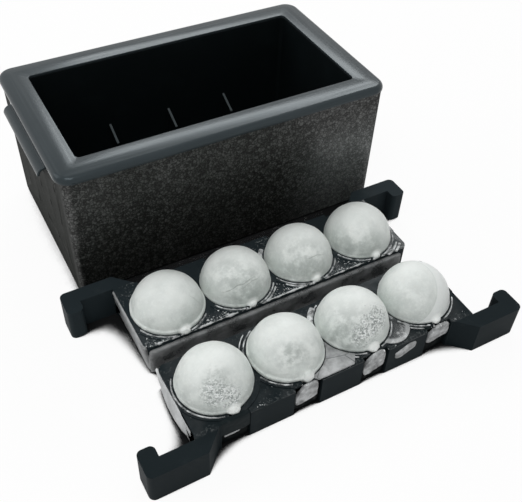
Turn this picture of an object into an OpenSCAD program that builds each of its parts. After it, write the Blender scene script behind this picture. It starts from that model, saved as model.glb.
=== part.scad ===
// Clear ice ball maker: an insulated freezing box with two hanging half-moulds, laid out with their ice balls.
// The box stands on the ground with its bottom centre at the origin, its length along X and its front towards -Y.

/* [Ice balls] */
// Diameter of an ice ball
ball_d = 60; // [40:1:70]
// Diameter of the half-round fill channel at the top of each cup
fill_d = 8; // [5:0.5:11]
// Diameter of the half-round drain channel at the foot of each cup
drain_d = 6; // [3:0.5:6]
// Height of the frozen belt at a ball's seam
belt_h = 2.2; // [1:0.1:4]
// Clearance between the ice and the tray
ice_gap = 0.3; // [0.2:0.05:0.6]

/* [Trays] */
// Wall of a cup
cup_wall = 1.7; // [1.2:0.1:3]
// Least wall between two neighbouring cups
cup_bridge = 1.8; // [1.2:0.1:6]
// Thickness of the plate that joins the cups
plate_t = 2.4; // [1.6:0.1:3.5]
// Width of the raised sealing land round a cup
land_w = 4.7; // [2:0.1:5.5]
// Height of the sealing land above the plate
land_h = 0.8; // [0.4:0.1:1.5]
// From a cup to the tray's end face
end_wall = 3.1; // [2.6:0.1:6]
// From a cup to the tray's foot face
foot_wall = 2.1; // [2:0.1:5]
// From a cup to the outer face of the top rail
rail_reach = 6.7; // [6:0.1:10]
// Thickness of the skirt, the rail and the ribs
skirt_t = 2.2; // [1.6:0.1:2.4]
// How far each end wall leans in towards the ground
end_draft = 3.4; // [1:0.1:6]
// Rounding of the tray's two corners on the foot side
tray_corner = 6; // [3:0.5:10]
// Rounding of the skirt's lower edge on the foot side
foot_round = 10; // [6:0.5:14]
// Width of the notch in the rail at each fill channel
notch_w = 24; // [16:0.5:28]
// Depth of the notch
notch_depth = 3.6; // [2.6:0.1:4.5]

/* [Hooks] */
// Width of a hook's arm and finger
hook_w = 14; // [9:0.5:20]
// Height of the arm's seat above the rail
hook_rise = 1.4; // [0.5:0.1:4]
// How far the finger hangs below the arm's seat
finger_drop = 10.4; // [8:0.1:14]
// Clearance between the finger and the rim
hook_clear = 0.8; // [0.4:0.1:2]
// How far along the rail the gusset starts from the tray's end
gusset_in = 19.5; // [12:0.5:24]
// How far along the rail the gusset ends from the tray's end
gusset_out = 4; // [1:0.5:8]
// Rounding of the hook's outer corner
hook_round = 5; // [2:0.5:8]
// Rounding of the finger's tip
tip_round = 4.4; // [2:0.1:4.5]
// Wall left round the hollow underside of a hook
hook_wall = 2.4; // [1.8:0.1:3.5]

/* [Tank] */
// Wall of the tank
tank_wall = 2.2; // [1.6:0.1:4]
// Floor of the tank
tank_floor = 2.5; // [1.8:0.1:5]
// Room between a hanging tray and each end of the tank
tank_end_clear = 4.1; // [2:0.1:10]
// Room beside the hanging moulds at each long wall
tank_side_clear = 0.8; // [0.5:0.1:5]
// Water depth below the hanging moulds
reservoir = 46; // [25:1:80]
// How far each wall leans in from the top to the floor
tank_lean = 3; // [1:0.1:6]
// Inner corner radius of the tank
tank_corner = 4; // [3:0.5:10]
// Bevel between the tank's walls and its floor
tank_bevel = 4; // [2:0.5:8]
// Thickness of the flange that hangs on the foam
flange_t = 2.4; // [1.6:0.1:4]
// Thickness of a fin
fin_t = 2.4; // [1.6:0.1:4]
// How far a fin reaches in from the wall
fin_reach = 20; // [10:0.5:28]
// How far a fin's top drops from the wall to its free end
fin_slope = 10; // [2:0.5:14]
// Room between a fin and the moulds that hang above it
fin_clear = 1; // [0.5:0.1:5]

/* [Rim frame] */
// Width of the rim
rim_w = 23.3; // [18:0.1:32]
// Height of the rim's skirt
rim_h = 6.5; // [6.2:0.1:12]
// Thickness of the rim's top
rim_t = 2.6; // [1.8:0.1:3]
// Thickness of the rim's skirt
rim_skirt_t = 2.4; // [1.8:0.1:4]
// Rounding of the rim's outer top edge
rim_round = 5; // [3:0.5:5.5]
// Outer corner radius of the rim
rim_corner = 14; // [10:0.5:22]
// Length of the pull ledge on each end
ledge_l = 98; // [50:1:120]
// How far the ledge stands out from the rim
ledge_out = 6.4; // [4:0.1:14]
// Height of the web between the rim's skirt and the ledge
ledge_web = 6.4; // [3:0.1:12]
// How far the web stands back from the skirt's face
ledge_groove = 0.9; // [0.3:0.1:1]
// Thickness of the ledge
ledge_t = 2.2; // [1.6:0.1:4]

/* [Foam box] */
// Floor of the foam box
foam_floor = 13.2; // [8:0.1:40]
// How far the foam's walls lean in from top to bottom
foam_lean = 0.3; // [0.1:0.1:6]
// Corner radius of the foam box
foam_corner = 7; // [4:0.5:11]
// Bevel round the foam's bottom edge
foam_bevel = 2.5; // [1:0.5:8]
// Clearance between the liner and the foam
liner_gap = 0.3; // [0.2:0.05:1]

/* [Layout] */
// Ground between the rim and the back tray's hooks
box_gap = 15.2; // [10:0.1:60]
// Ground between the two trays
tray_gap = 19; // [10:0.1:60]
// Sideways place of the back tray
back_tray_x = -5.2; // [-40:0.1:40]
// Sideways place of the front tray
front_tray_x = -4.3; // [-40:0.1:40]

/* [Hidden] */
$fn = 64;
hull_fn = 32;
sliver = 0.01;
cut = 1;

balls = 4;
ball_r = ball_d / 2;
cup_r = ball_r + ice_gap;
pitch = 2 * cup_r + cup_bridge;
belt_r = pitch / 2 - ice_gap;
row = [for (i = [0 : balls - 1]) (i - (balls - 1) / 2) * pitch];

parting_z = cup_r + cup_wall;
plate_z = parting_z - land_h;
land_r = cup_r + land_w;
tray_half = row[balls - 1] + cup_r + end_wall;
foot_y = cup_r + foot_wall;
rail_y = cup_r + rail_reach;
notch_y = rail_y - notch_depth;

seat_y = rail_y + hook_rise;
arm_y = seat_y + hook_w;
tip_y = seat_y - finger_drop;
hang_h = seat_y + foot_y;

tank_half_l = tray_half + tank_end_clear;
tank_half_w = 2 * parting_z + tank_side_clear;
floor_z = foam_floor + liner_gap + tank_floor;
rim_z = floor_z + reservoir + hang_h;
flange_z = rim_z - rim_t - flange_t;
foam_z = flange_z - liner_gap;
fin_z = floor_z + reservoir - fin_clear;

rim_half_l = tank_half_l + rim_w;
rim_half_w = tank_half_w + rim_w;
skirt_z = rim_z - rim_h;
finger_x = rim_half_l + hook_clear;
finger_out_x = finger_x + hook_w;

inside_skirt = rim_skirt_t + liner_gap;
foam_half_l = rim_half_l - inside_skirt;
foam_half_w = rim_half_w - inside_skirt;
neck_corner = rim_corner - inside_skirt;
neck_z = skirt_z - liner_gap;

back_tray_y = -(rim_half_w + box_gap + arm_y);
front_tray_y = back_tray_y - 2 * foot_y - tray_gap;

// How far a tank wall has leaned in at height z
function tank_in(z) = tank_lean * (rim_z - z) / (rim_z - floor_z);

// Half length of a tray's body at height z
function body_half(z) = tray_half - end_draft * (1 - z / plate_z);

// Rectangle of the given half sizes with round corners
module round_rect(half_l, half_w, r) {
    square([2 * half_l, 2 * (half_w - r)], center = true);
    square([2 * (half_l - r), 2 * half_w], center = true);
    for (sx = [-1, 1], sy = [-1, 1])
        translate([sx * (half_l - r), sy * (half_w - r)]) circle(r);
}

// Thin level slice with round corners, for hulls
module slice(z, half_l, half_w, r) {
    translate([0, 0, z]) linear_extrude(sliver) round_rect(half_l, half_w, r, $fn = hull_fn);
}

// Leaning hollow or body of the tank, grown outwards by the given amount
module tank_form(grow, bottom_z, top_z) {
    hull() {
        slice(top_z - sliver, tank_half_l + grow, tank_half_w + grow, tank_corner + grow);
        slice(bottom_z + tank_bevel, tank_half_l + grow - tank_in(bottom_z),
              tank_half_w + grow - tank_in(bottom_z), tank_corner + grow);
        slice(bottom_z, tank_half_l + grow - tank_in(bottom_z) - tank_bevel,
              tank_half_w + grow - tank_in(bottom_z) - tank_bevel, tank_corner + grow);
    }
}

// Bead-foam box: a block with a neck that the rim closes over, and the tank's seat hollowed out
module foam_box() {
    foot_in = foam_lean + foam_bevel;
    color("#2c2d2d") difference() {
        union() {
            hull() {
                slice(neck_z - sliver, foam_half_l, foam_half_w, foam_corner);
                slice(foam_bevel, foam_half_l - foam_lean, foam_half_w - foam_lean, foam_corner);
                slice(0, foam_half_l - foot_in, foam_half_w - foot_in, foam_corner);
            }
            translate([0, 0, neck_z - cut])
                linear_extrude(foam_z - neck_z + cut) round_rect(foam_half_l, foam_half_w, neck_corner);
        }
        tank_form(tank_wall + liner_gap, foam_floor, foam_z + cut);
    }
}

// Outline of one fin across the tank, from its free end into the back wall
module fin_outline() {
    free_y = tank_half_w - tank_in(fin_z) - fin_reach;
    polygon([[free_y, floor_z - tank_floor / 2],
             [free_y, fin_z - fin_slope],
             [tank_half_w - tank_in(fin_z), fin_z],
             [tank_half_w - tank_in(fin_z) + tank_wall / 2, fin_z],
             [tank_half_w - tank_in(floor_z) + tank_wall / 2, floor_z + tank_bevel],
             [tank_half_w - tank_in(floor_z) - tank_bevel, floor_z - tank_floor / 2]]);
}

// Water tank with its flange and a fin between each two ball places on both long walls
module tank() {
    color("#101315") {
        difference() {
            union() {
                tank_form(tank_wall, floor_z - tank_floor, flange_z + flange_t);
                translate([0, 0, flange_z])
                    linear_extrude(flange_t) round_rect(foam_half_l, foam_half_w, neck_corner);
            }
            tank_form(0, floor_z, rim_z + cut);
        }
        for (i = [0 : balls - 2], side = [0, 180])
            rotate(side) translate([(row[i] + row[i + 1]) / 2 - fin_t / 2, 0, 0])
                rotate([90, 0, 90]) linear_extrude(fin_t) fin_outline();
    }
}

// Section of the pull ledge: a web set back under the rim's skirt, then a lip that rolls out and down
module ledge_section() {
    web_x = rim_half_l - ledge_groove;
    web_t = rim_skirt_t - ledge_groove;
    roll_r = ledge_out + ledge_groove;
    roll_z = skirt_z - ledge_web - roll_r;
    translate([web_x - web_t, roll_z + roll_r - ledge_t]) square([web_t, ledge_t + ledge_web + cut]);
    intersection() {
        translate([web_x, roll_z]) difference() {
            circle(roll_r);
            circle(roll_r - ledge_t);
        }
        translate([web_x - web_t, roll_z]) square([web_t + roll_r, roll_r]);
    }
}

// Section of the rim across one side, from the corner's centre line out to the rolled edge and skirt
module rim_section() {
    difference() {
        union() {
            translate([0, skirt_z]) square([rim_corner, rim_h - rim_round]);
            translate([0, skirt_z]) square([rim_corner - rim_round, rim_h]);
            intersection() {
                translate([rim_corner - rim_round, rim_z - rim_round]) circle(rim_round);
                translate([0, skirt_z]) square([rim_corner, rim_h]);
            }
        }
        translate([-cut, skirt_z - cut]) square([rim_corner - rim_skirt_t + cut, rim_h - rim_t + cut]);
    }
}

// Grey frame over the flange and the foam's edge, with its rolled outer edge and a pull ledge at each end
module rim_frame() {
    side_l = rim_half_l - rim_corner;
    side_w = rim_half_w - rim_corner;
    color("#5b6164") {
        translate([0, 0, rim_z - rim_t]) linear_extrude(rim_t) difference() {
            square([2 * side_l, 2 * side_w], center = true);
            round_rect(tank_half_l, tank_half_w, tank_corner);
        }
        for (side = [0, 180]) rotate(side) {
            translate([side_l, side_w, 0]) rotate([90, 0, 0]) linear_extrude(2 * side_w) rim_section();
            translate([-side_l, side_w, 0]) rotate([90, 0, 90]) linear_extrude(2 * side_l) rim_section();
            translate([side_l, side_w, 0]) rotate_extrude(angle = 90) rim_section();
            translate([-side_l, side_w, 0]) rotate(90) rotate_extrude(angle = 90) rim_section();
            translate([0, ledge_l / 2, 0]) rotate([90, 0, 0]) linear_extrude(ledge_l) ledge_section();
        }
    }
}

// Plan of the tray's body, the rail side towards +Y and the foot corners round, drawn in by the given amount
module tray_plan(inset = 0) {
    half_l = tray_half - inset;
    r = tray_corner - inset;
    translate([-half_l, tray_corner - foot_y]) square([2 * half_l, foot_y + rail_y - tray_corner - inset]);
    translate([r - half_l, inset - foot_y]) square([2 * (half_l - r), 2 * r]);
    for (side = [-1, 1])
        translate([side * (half_l - r), tray_corner - foot_y]) circle(r);
}

// Front view of the tray's body between two heights, its end walls leaning in, drawn in by the given amount
module tray_end(inset, low_z, high_z) {
    low = body_half(low_z) - inset;
    high = body_half(high_z) - inset;
    polygon([[-low, low_z], [low, low_z], [high, high_z], [-high, high_z]]);
}

// Body of the tray between two heights, drawn in by the given amount
module tray_body(inset, low_z, high_z) {
    intersection() {
        translate([0, 0, low_z]) linear_extrude(high_z - low_z) tray_plan(inset);
        translate([0, rail_y + cut, 0]) rotate([90, 0, 0])
            linear_extrude(foot_y + rail_y + 2 * cut) tray_end(inset, low_z - cut, high_z + cut);
    }
}

// Side view of the tray's body, with the lower edge rounded on the foot side
module tray_side() {
    translate([-foot_y, foot_round]) square([foot_y + rail_y + cut, plate_z + cut - foot_round]);
    translate([foot_round - foot_y, 0]) square([foot_y + rail_y + cut - foot_round, plate_z + cut]);
    translate([foot_round - foot_y, foot_round]) circle(foot_round);
}

// Plan of the right-hand hook: a gusset off the rail, the arm, and the finger that hangs over the rim
module hook_plan() {
    root_y = rail_y - skirt_t;
    polygon([[tray_half - gusset_in, root_y], [tray_half - gusset_in, rail_y],
             [tray_half - gusset_out, arm_y], [tray_half, arm_y], [tray_half, root_y]]);
    translate([tray_half - gusset_out, seat_y])
        square([finger_out_x - hook_round - tray_half + gusset_out, hook_w]);
    translate([finger_out_x - hook_round, arm_y - hook_round]) circle(hook_round);
    translate([finger_x, tip_y + tip_round])
        square([hook_w, arm_y - hook_round - tip_y - tip_round]);
    translate([finger_x + tip_round, tip_y]) square([hook_w - 2 * tip_round, 2 * tip_round]);
    for (x = [finger_x + tip_round, finger_out_x - tip_round])
        translate([x, tip_y + tip_round]) circle(tip_round);
}

// Plan of the hollow in a hook's underside
module hook_hollow() {
    translate([tray_half + hook_wall, seat_y + hook_wall])
        square([finger_out_x - tray_half - 2 * hook_wall, hook_w - 2 * hook_wall - hook_round / 2]);
    translate([finger_x + hook_wall, tip_y + tip_round])
        square([hook_w - 2 * hook_wall, seat_y + hook_w / 2 - tip_y - tip_round]);
}

// Half-mould lying on its back, parting face up, with its row of cups along X and its rail towards +Y
module half_mould() {
    color("#25292b") difference() {
        union() {
            intersection() {
                difference() {
                    tray_body(0, 0, plate_z);
                    tray_body(skirt_t, -cut, plate_z - plate_t);
                }
                translate([-tray_half - cut, 0, 0]) rotate([90, 0, 90])
                    linear_extrude(2 * (tray_half + cut)) tray_side();
            }
            for (x = row) cup(x);
            for (side = [0, 1]) mirror([side, 0, 0]) linear_extrude(plate_z) hook_plan();
        }
        for (x = row) cup_cuts(x);
        for (side = [0, 1]) mirror([side, 0, 0])
            translate([0, 0, -cut]) linear_extrude(plate_z - plate_t + cut) hook_hollow();
    }
}

// Outside of one cup: shell, sealing land, fill spout and the ribs beside its notch
module cup(x) {
    spout_r = fill_d / 2 + cup_wall;
    intersection() {
        translate([x, 0, parting_z]) sphere(cup_r + cup_wall);
        translate([x - pitch, -pitch, 0]) cube([2 * pitch, 2 * pitch, parting_z]);
    }
    intersection() {
        translate([x, 0, plate_z]) cylinder(r = land_r, h = land_h);
        linear_extrude(parting_z) tray_plan();
    }
    intersection() {
        translate([x, 0, parting_z]) rotate([-90, 0, 0]) cylinder(r = spout_r, h = notch_y);
        translate([x - spout_r, 0, 0]) cube([2 * spout_r, notch_y, parting_z]);
    }
    for (side = [-1, 1])
        translate([x + side * (notch_w + skirt_t) / 2 - skirt_t / 2, ball_r / 2, 0])
            cube([skirt_t, rail_y - ball_r / 2, plate_z]);
}

// What is cut from one cup: the ball's cavity, the fill and drain channels and the notch in the rail
module cup_cuts(x) {
    translate([x, 0, parting_z]) {
        sphere(cup_r);
        rotate([-90, 0, 0]) cylinder(d = fill_d, h = rail_y);
        rotate([90, 0, 0]) cylinder(d = drain_d, h = foot_y + cut);
    }
    translate([x - notch_w / 2, notch_y, -cut])
        cube([notch_w, rail_y - notch_y + cut, parting_z + 2 * cut]);
}

// Half-mould nearest the box, its hooks to the back
module back_tray() {
    translate([back_tray_x, back_tray_y, 0]) half_mould();
}

// Half-mould in front, turned half a turn so that its hooks are to the front
module front_tray() {
    translate([front_tray_x, front_tray_y, 0]) rotate(180) half_mould();
}

// Ice ball in the cup at x: the ball, its belt at the seam and the ice of both channels
module ice_ball(x) {
    color("#d6dcda") translate([x, 0, parting_z]) {
        sphere(ball_r);
        translate([0, 0, ice_gap]) cylinder(r = belt_r, h = belt_h);
        rotate([-90, 0, 0]) cylinder(d = fill_d - 2 * ice_gap, h = notch_y);
        rotate([90, 0, 0]) cylinder(d = drain_d - 2 * ice_gap, h = foot_y);
    }
}

// Ball of the back tray, counted from the left
module back_ball(i) {
    translate([back_tray_x, back_tray_y, 0]) ice_ball(row[i - 1]);
}

// Ball of the front tray, counted from the left
module front_ball(i) {
    translate([front_tray_x, front_tray_y, 0]) rotate(180) ice_ball(row[balls - i]);
}

foam_box();
tank();
rim_frame();
back_tray();
front_tray();
back_ball(1);  // back_ball_1
back_ball(2);  // back_ball_2
back_ball(3);  // back_ball_3
back_ball(4);  // back_ball_4
front_ball(1);  // front_ball_1
front_ball(2);  // front_ball_2
front_ball(3);  // front_ball_3
front_ball(4);  // front_ball_4
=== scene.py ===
import math
import random

import bpy
from mathutils import Matrix, Vector


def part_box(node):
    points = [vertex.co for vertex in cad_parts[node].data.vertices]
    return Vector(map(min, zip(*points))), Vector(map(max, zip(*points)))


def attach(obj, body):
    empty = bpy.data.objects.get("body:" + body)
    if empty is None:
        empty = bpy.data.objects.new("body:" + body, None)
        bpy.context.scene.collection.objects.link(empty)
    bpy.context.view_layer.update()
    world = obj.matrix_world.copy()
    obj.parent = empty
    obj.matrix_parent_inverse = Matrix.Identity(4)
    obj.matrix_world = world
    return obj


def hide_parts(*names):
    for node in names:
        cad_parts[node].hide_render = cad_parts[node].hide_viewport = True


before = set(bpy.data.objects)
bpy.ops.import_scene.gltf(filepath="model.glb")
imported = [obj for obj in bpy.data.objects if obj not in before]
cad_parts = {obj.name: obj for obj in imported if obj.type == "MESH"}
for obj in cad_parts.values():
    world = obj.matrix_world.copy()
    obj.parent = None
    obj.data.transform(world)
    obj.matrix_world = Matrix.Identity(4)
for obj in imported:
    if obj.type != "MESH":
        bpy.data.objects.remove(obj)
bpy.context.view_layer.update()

mm = 0.001

# camera as fitted to the photograph, image 522 x 502
shot = {
    "place": (-241.4 * mm, -540.3 * mm, 508.3 * mm),
    "turn": -30.783,  # degrees about the vertical
    "tilt": 44.757,
    "roll": 2.81,
    "focalPixels": 756.8,
    "imageWidth": 522,
    "sensor": 36.0,
    "clipStart": 20 * mm,
}

studio = {
    "ambient": 0.42,
    "floorColour": (0.9, 0.9, 0.9, 1),
    "gapShadeColour": (0.012, 0.0125, 0.013, 1),  # painted shade: the floor's colour where walls close it in
    "floorSize": 8.0,
    "floorDrop": 0.05 * mm,  # keeps the floor clear of the pieces that stand on it
    "shadowShare": 0.07,  # how much of the open floor's own shading is kept
    "gapReach": 130 * mm,  # how far the floor looks for walls that close it in
    "gapSamples": 40,
    "gapDark": 0.44,
    "gapLight": 0.5,
    "glossDark": 0.4,  # the same limits for the floor as the glossy walls mirror it
    "glossLight": 0.95,
}

# soft lamps, in metres and watts
lamps = {
    "backSoftbox": {"place": (0.5, 0.73, 0.86), "aim": (0, -0.08, 0.13), "size": (0.86, 0.27), "watts": 4.9},
    "leftSoftbox": {"place": (-0.95, 0.45, 0.8), "aim": (0, -0.1, 0.05), "size": (0.7, 0.7), "watts": 2.5},
    "topSoftbox": {"place": (-0.4, -0.5, 1.35), "aim": (0, -0.15, 0.05), "size": (0.8, 0.6), "watts": 7},
}

# sizes that the ice shares with the trays
ballRadius = 30 * mm
fillReach = 33.4 * mm  # from a ball's centre to the end of its fill nub
drainReach = 32.4 * mm
footReach = 32.4 * mm  # from the row of balls to a tray's foot wall
railReach = 37 * mm
trayHalf = 127 * mm
trayTop = 31.2 * mm  # the plate between the cups
rimHalf = (154.4 * mm, 88.1 * mm)
endDraft = 3.4 * mm  # how far a tray's end walls lean in at the ground
partingTop = 32 * mm  # the raised lands round the cups, level with the balls' centres
frontEdge = {"back": footReach, "front": railReach}  # the side of each tray that faces the viewer
rows = ("back", "front")
counts = (1, 2, 3, 4)


def ballPlace(row, count):
    low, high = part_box(f"{row}_ball_{count}")
    nearEnd = drainReach if row == "back" else fillReach
    return Vector(((low.x + high.x) / 2, low.y + nearEnd, partingTop))


def trayPlace(row):
    first, last = ballPlace(row, 1), ballPlace(row, 4)
    return Vector(((first.x + last.x) / 2, first.y, 0))


# shader maths: a socket that can be written in expressions
class Shade:
    def __init__(self, tree, socket):
        self.tree = tree
        self.socket = socket

    def withMath(self, operation, other, flipped=False):
        node = self.tree.nodes.new("ShaderNodeMath")
        node.operation = operation
        pair = [other, self] if flipped else [self, other]
        for slot, value in zip(node.inputs, pair):
            plug(self.tree, slot, value)
        return Shade(self.tree, node.outputs[0])

    def __add__(self, other):
        return self.withMath("ADD", other)

    def __sub__(self, other):
        return self.withMath("SUBTRACT", other)

    def __rsub__(self, other):
        return self.withMath("SUBTRACT", other, True)

    def __mul__(self, other):
        return self.withMath("MULTIPLY", other)

    __radd__ = __add__
    __rmul__ = __mul__

    def __abs__(self):
        return self.withMath("ABSOLUTE", 0)

    def highest(self, other):
        return self.withMath("MAXIMUM", other)

    def beside(self, name):
        return Shade(self.tree, self.socket.node.outputs[name])


def plug(tree, slot, value):
    if isinstance(value, Shade):
        tree.links.new(value.socket, slot)
    else:
        slot.default_value = value


class Finish:
    def __init__(self, name):
        self.material = bpy.data.materials.new(name)
        self.material.use_nodes = True
        self.tree = self.material.node_tree
        self.tree.nodes.clear()
        self.where = self.add("ShaderNodeTexCoord", {}, {}, "Object")

    # one way to add any other node: its settings first, then its sockets
    def add(self, kind, settings, sockets, output=0):
        node = self.tree.nodes.new(kind)
        for key, value in settings.items():
            setattr(node, key, value)
        for key, value in sockets.items():
            plug(self.tree, node.inputs[key], value)
        return Shade(self.tree, node.outputs[output]) if node.outputs else node

    def speckle(self, scale, detail=3, roughness=0.55, where=None):
        return self.add("ShaderNodeTexNoise", {}, {
            "Vector": where or self.where, "Scale": scale, "Detail": detail, "Roughness": roughness})

    def cells(self, scale, feature="F1"):
        return self.add("ShaderNodeTexVoronoi", {"feature": feature}, {"Vector": self.where, "Scale": scale})

    # 0 below low, 1 above high, smooth between
    def step(self, value, low, high):
        return self.add("ShaderNodeMapRange", {"interpolation_type": "SMOOTHSTEP"}, {
            "Value": value, "From Min": low, "From Max": high, "To Min": 0, "To Max": 1})

    def mix(self, share, first, second):
        return self.add("ShaderNodeMix", {"data_type": "RGBA"}, {0: share, 6: first, 7: second}, 2)

    def vector(self, operation, first, second, output=0):
        return self.add("ShaderNodeVectorMath", {"operation": operation}, {0: first, 1: second}, output)

    # 1 inside a ball of the given radius round a place, fading over soft
    def near(self, where, place, radius, soft):
        apart = self.vector("DISTANCE", where, place, "Value")
        return 1 - self.step(apart, radius - soft, radius)

    def axis(self, name, where=None):
        return self.add("ShaderNodeSeparateXYZ", {}, {0: where or self.where}).beside(name)

    def bump(self, height, distance, strength, below=None):
        sockets = {"Height": height, "Distance": distance, "Strength": strength}
        if below:
            sockets["Normal"] = below
        return self.add("ShaderNodeBump", {}, sockets)

    def close(self, sockets):
        shader = self.add("ShaderNodeBsdfPrincipled", {}, sockets)
        self.add("ShaderNodeOutputMaterial", {}, {"Surface": shader})
        return self.material


# a grey that may lean to blue
def grey(value, blue):
    return (value, value * (1 + blue), value * (1 + 1.3 * blue), 1)


# modelling by hand, in code
def deselectAll():
    if bpy.context.object and bpy.context.object.mode != "OBJECT":
        bpy.ops.object.mode_set(mode="OBJECT")
    bpy.ops.object.select_all(action="DESELECT")


def choose(*pieces):
    deselectAll()
    bpy.context.view_layer.objects.active = pieces[0]
    for piece in pieces:
        piece.select_set(True)


def editAll(piece):
    choose(piece)
    bpy.ops.object.mode_set(mode="EDIT")
    bpy.ops.mesh.select_all(action="SELECT")


def endEdit():
    bpy.ops.object.mode_set(mode="OBJECT")


def applyModifier(piece, kind, settings):
    choose(piece)
    modifier = piece.modifiers.new(kind.title(), kind)
    for key, value in settings.items():
        setattr(modifier, key, value)
    bpy.ops.object.modifier_apply(modifier=modifier.name)


def smoothByAngle(piece, degrees=32):
    choose(piece)
    bpy.ops.object.shade_smooth_by_angle(angle=math.radians(degrees))


def smoothAll(piece):
    choose(piece)
    bpy.ops.object.shade_smooth()


def settle(name):
    piece = bpy.context.object
    piece.name = piece.data.name = name
    choose(piece)
    bpy.ops.object.transform_apply(location=True, rotation=True, scale=True)
    return piece


def addCube(name, centre, size):
    deselectAll()
    bpy.ops.mesh.primitive_cube_add(size=1, location=centre, scale=size)
    return settle(name)


def addBall(name, centre, halves, grid):
    deselectAll()
    bpy.ops.mesh.primitive_uv_sphere_add(
        segments=grid[0], ring_count=grid[1], radius=1, location=centre, scale=halves)
    return settle(name)


def addDisc(name, centre, halfX, halfY, height, vertices=96):
    deselectAll()
    bpy.ops.mesh.primitive_cylinder_add(
        vertices=vertices, radius=1, depth=1, location=centre, scale=(halfX, halfY, height))
    return settle(name)


def joined(name, pieces):
    choose(*pieces)
    if len(pieces) > 1:
        bpy.ops.object.join()
    whole = bpy.context.object
    whole.name = whole.data.name = name
    return whole


def carve(piece, cutter, operation="DIFFERENCE"):
    applyModifier(piece, "BOOLEAN", {"operation": operation, "object": cutter, "solver": "EXACT"})
    bpy.data.objects.remove(cutter)


def soften(piece, levels):
    applyModifier(piece, "SUBSURF", {"levels": levels, "render_levels": levels})


def remesh(piece, voxel):
    applyModifier(piece, "REMESH", {"mode": "VOXEL", "voxel_size": voxel, "use_smooth_shade": True})


def relax(piece, rounds):
    applyModifier(piece, "SMOOTH", {"factor": 0.5, "iterations": rounds})


# push the skin in and out by a cloud pattern that depends on the place
def crumple(piece, strength, size, depth=2):
    cloud = bpy.data.textures.new(piece.name + "Cloud", "CLOUDS")
    cloud.noise_scale = size
    cloud.noise_depth = depth
    applyModifier(piece, "DISPLACE", {
        "texture": cloud, "texture_coords": "GLOBAL", "strength": strength, "mid_level": 0.5})


def cutUp(piece, cuts, jitter, seed):
    editAll(piece)
    bpy.ops.mesh.subdivide(number_cuts=cuts)
    bpy.ops.transform.vertex_random(offset=jitter, uniform=1, seed=seed)
    endEdit()


mergeForm = {"weld": 0.004 * mm, "flatAngle": 0.3}  # faces within this many degrees become one


# a copy of a CAD node with its loose triangles merged into clean faces
def mergedCopy(nodeName, pieceName):
    piece = bpy.data.objects.new(pieceName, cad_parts[nodeName].data.copy())
    bpy.context.scene.collection.objects.link(piece)
    editAll(piece)
    bpy.ops.mesh.remove_doubles(threshold=mergeForm["weld"])
    bpy.ops.mesh.dissolve_limited(angle_limit=math.radians(mergeForm["flatAngle"]))
    endEdit()
    return piece


# round the edges that turn by more than the form's angle
def roundEdges(piece, form):
    applyModifier(piece, "BEVEL", {
        "width": form["edge"], "segments": form["edgeSegments"], "use_clamp_overlap": True,
        "limit_method": "ANGLE", "angle_limit": math.radians(form["edgeAngle"]), "miter_outer": "MITER_ARC"})


# round every edge
def roundAll(piece, form):
    applyModifier(piece, "BEVEL", {
        "width": form["round"], "segments": form["roundSegments"], "use_clamp_overlap": True})


# split the faces with at least so many corners
def splitFaces(piece, corners):
    applyModifier(piece, "TRIANGULATE", {"min_vertices": corners})


# split the large faces that merging left, then shade flat faces flat and bevels smooth
def finishFaces(piece):
    splitFaces(piece, 5)
    smoothByAngle(piece)
    applyModifier(piece, "WEIGHTED_NORMAL", {"keep_sharp": True})


def dress(piece, material, body, slot, *nodes):
    piece.data.materials.clear()
    piece.data.materials.append(material)
    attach(piece, body)
    if nodes:
        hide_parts(*nodes)


# moulded foam beads: each bead has its own gloss, which fades on faces seen edge on; the creases between
# beads are painted darker, a painted shade, and the palest beads carry a painted glint; the end walls are
# smoother, and the lower right of the box is painted paler, a painted light that stands for light from the
# right
foamSkin = {
    "beadScale": 340,  # beads in a metre
    "grainScale": 620,
    "dark": (0.0075, 0.0080, 0.0072, 1),
    "light": (0.04, 0.0427, 0.0393, 1),
    # colour of the painted glint on the palest beads
    "paintedGlint": (0.075, 0.08, 0.076, 1),
    # colour of the painted light at the lower right of the front
    "scuffAndPaintedLight": (0.135, 0.148, 0.144, 1),
    "paintedLightAlong": (40 * mm, 115 * mm),  # the painted light begins and is full at these places
    "paintedLightHeight": (70 * mm, 115 * mm),  # they fade between these heights
    "endSmooth": 0.8,  # the share of grain that the end walls lack
    "endShine": 0.42,
}


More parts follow.
